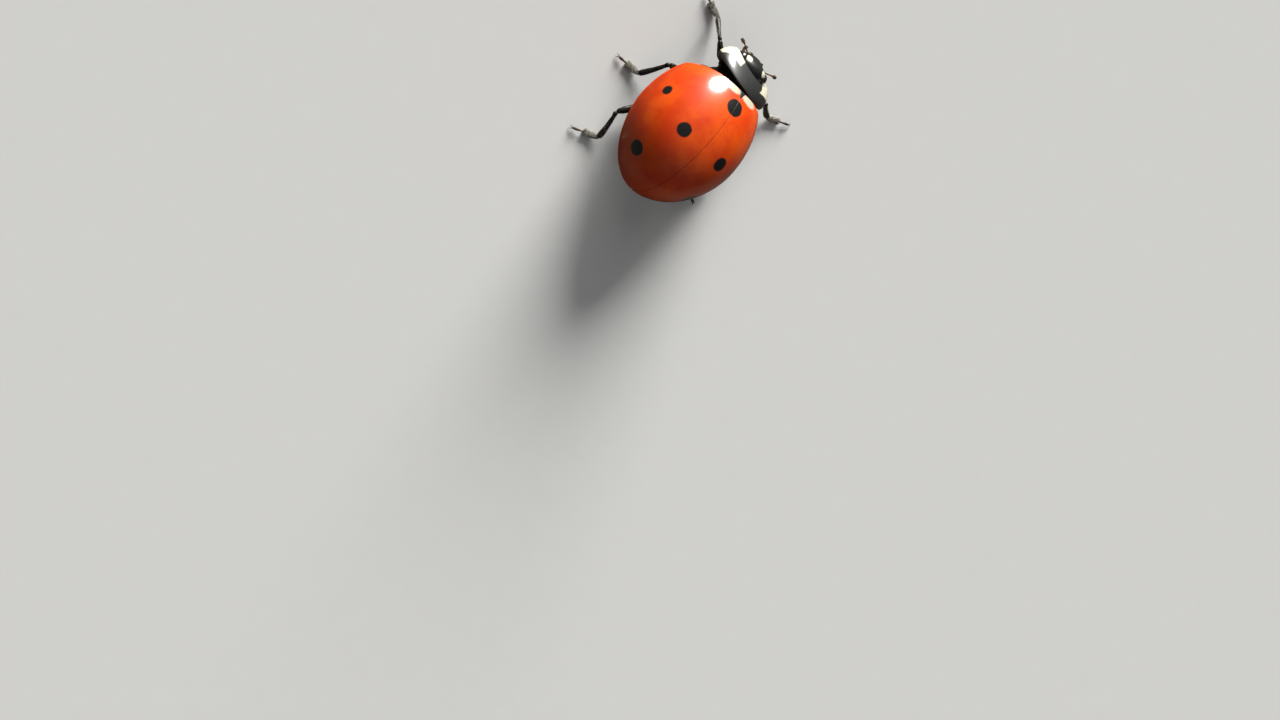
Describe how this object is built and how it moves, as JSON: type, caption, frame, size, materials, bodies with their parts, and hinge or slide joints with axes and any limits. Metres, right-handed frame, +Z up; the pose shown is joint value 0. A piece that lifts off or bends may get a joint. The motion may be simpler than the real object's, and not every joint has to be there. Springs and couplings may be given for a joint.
{
  "type": "ladybird beetle",
  "caption": "Life-size still model of a seven-spot ladybird standing with legs spread, domed red wing cases with black spots, black pronotum with pale corners.",
  "frame": {"origin": "below the middle of the model's bounding box, at the level of the flat soles of the feet", "axes": "+Z up; the head looks along -Y, and the beetle's own left side is at +X"},
  "size_m": [0.0086, 0.0086, 0.0041],
  "materials": {
    "shell_red": "glossy orange-red wing cases with soft-edged black spots",
    "plate_black": "glossy black plates with cream front corners",
    "underside_black": "satin black, finely punctured, with short pale hairs",
    "leg_black": "satin black, with short pale hairs",
    "tarsus_brown": "brown-black with pale hair pads",
    "feeler_brown": "chestnut brown, satin",
    "eye_black": "faceted glossy black"
  },
  "bodies": {
    "root": {"abdomen": "underside_black", "antenna_left": "feeler_brown", "antenna_right": "feeler_brown", "elytron_left": "shell_red", "elytron_right": "shell_red", "eye_left": "eye_black", "eye_right": "eye_black", "fore_left_coxa": "leg_black", "fore_left_femur": "leg_black", "fore_left_tarsus": "tarsus_brown", "fore_left_tibia": "leg_black", "fore_right_coxa": "leg_black", "fore_right_femur": "leg_black", "fore_right_tarsus": "tarsus_brown", "fore_right_tibia": "leg_black", "head": "plate_black", "hind_left_coxa": "leg_black", "hind_left_femur": "leg_black", "hind_left_tarsus": "tarsus_brown", "hind_left_tibia": "leg_black", "hind_right_coxa": "leg_black", "hind_right_femur": "leg_black", "hind_right_tarsus": "tarsus_brown", "hind_right_tibia": "leg_black", "mid_left_coxa": "leg_black", "mid_left_femur": "leg_black", "mid_left_tarsus": "tarsus_brown", "mid_left_tibia": "leg_black", "mid_right_coxa": "leg_black", "mid_right_femur": "leg_black", "mid_right_tarsus": "tarsus_brown", "mid_right_tibia": "leg_black", "mouthparts": "underside_black", "palp_left": "feeler_brown", "palp_right": "feeler_brown", "pronotum": "plate_black", "prosternum": "underside_black", "scutellum": "plate_black", "thorax": "underside_black"}
  },
  "joints": []
}
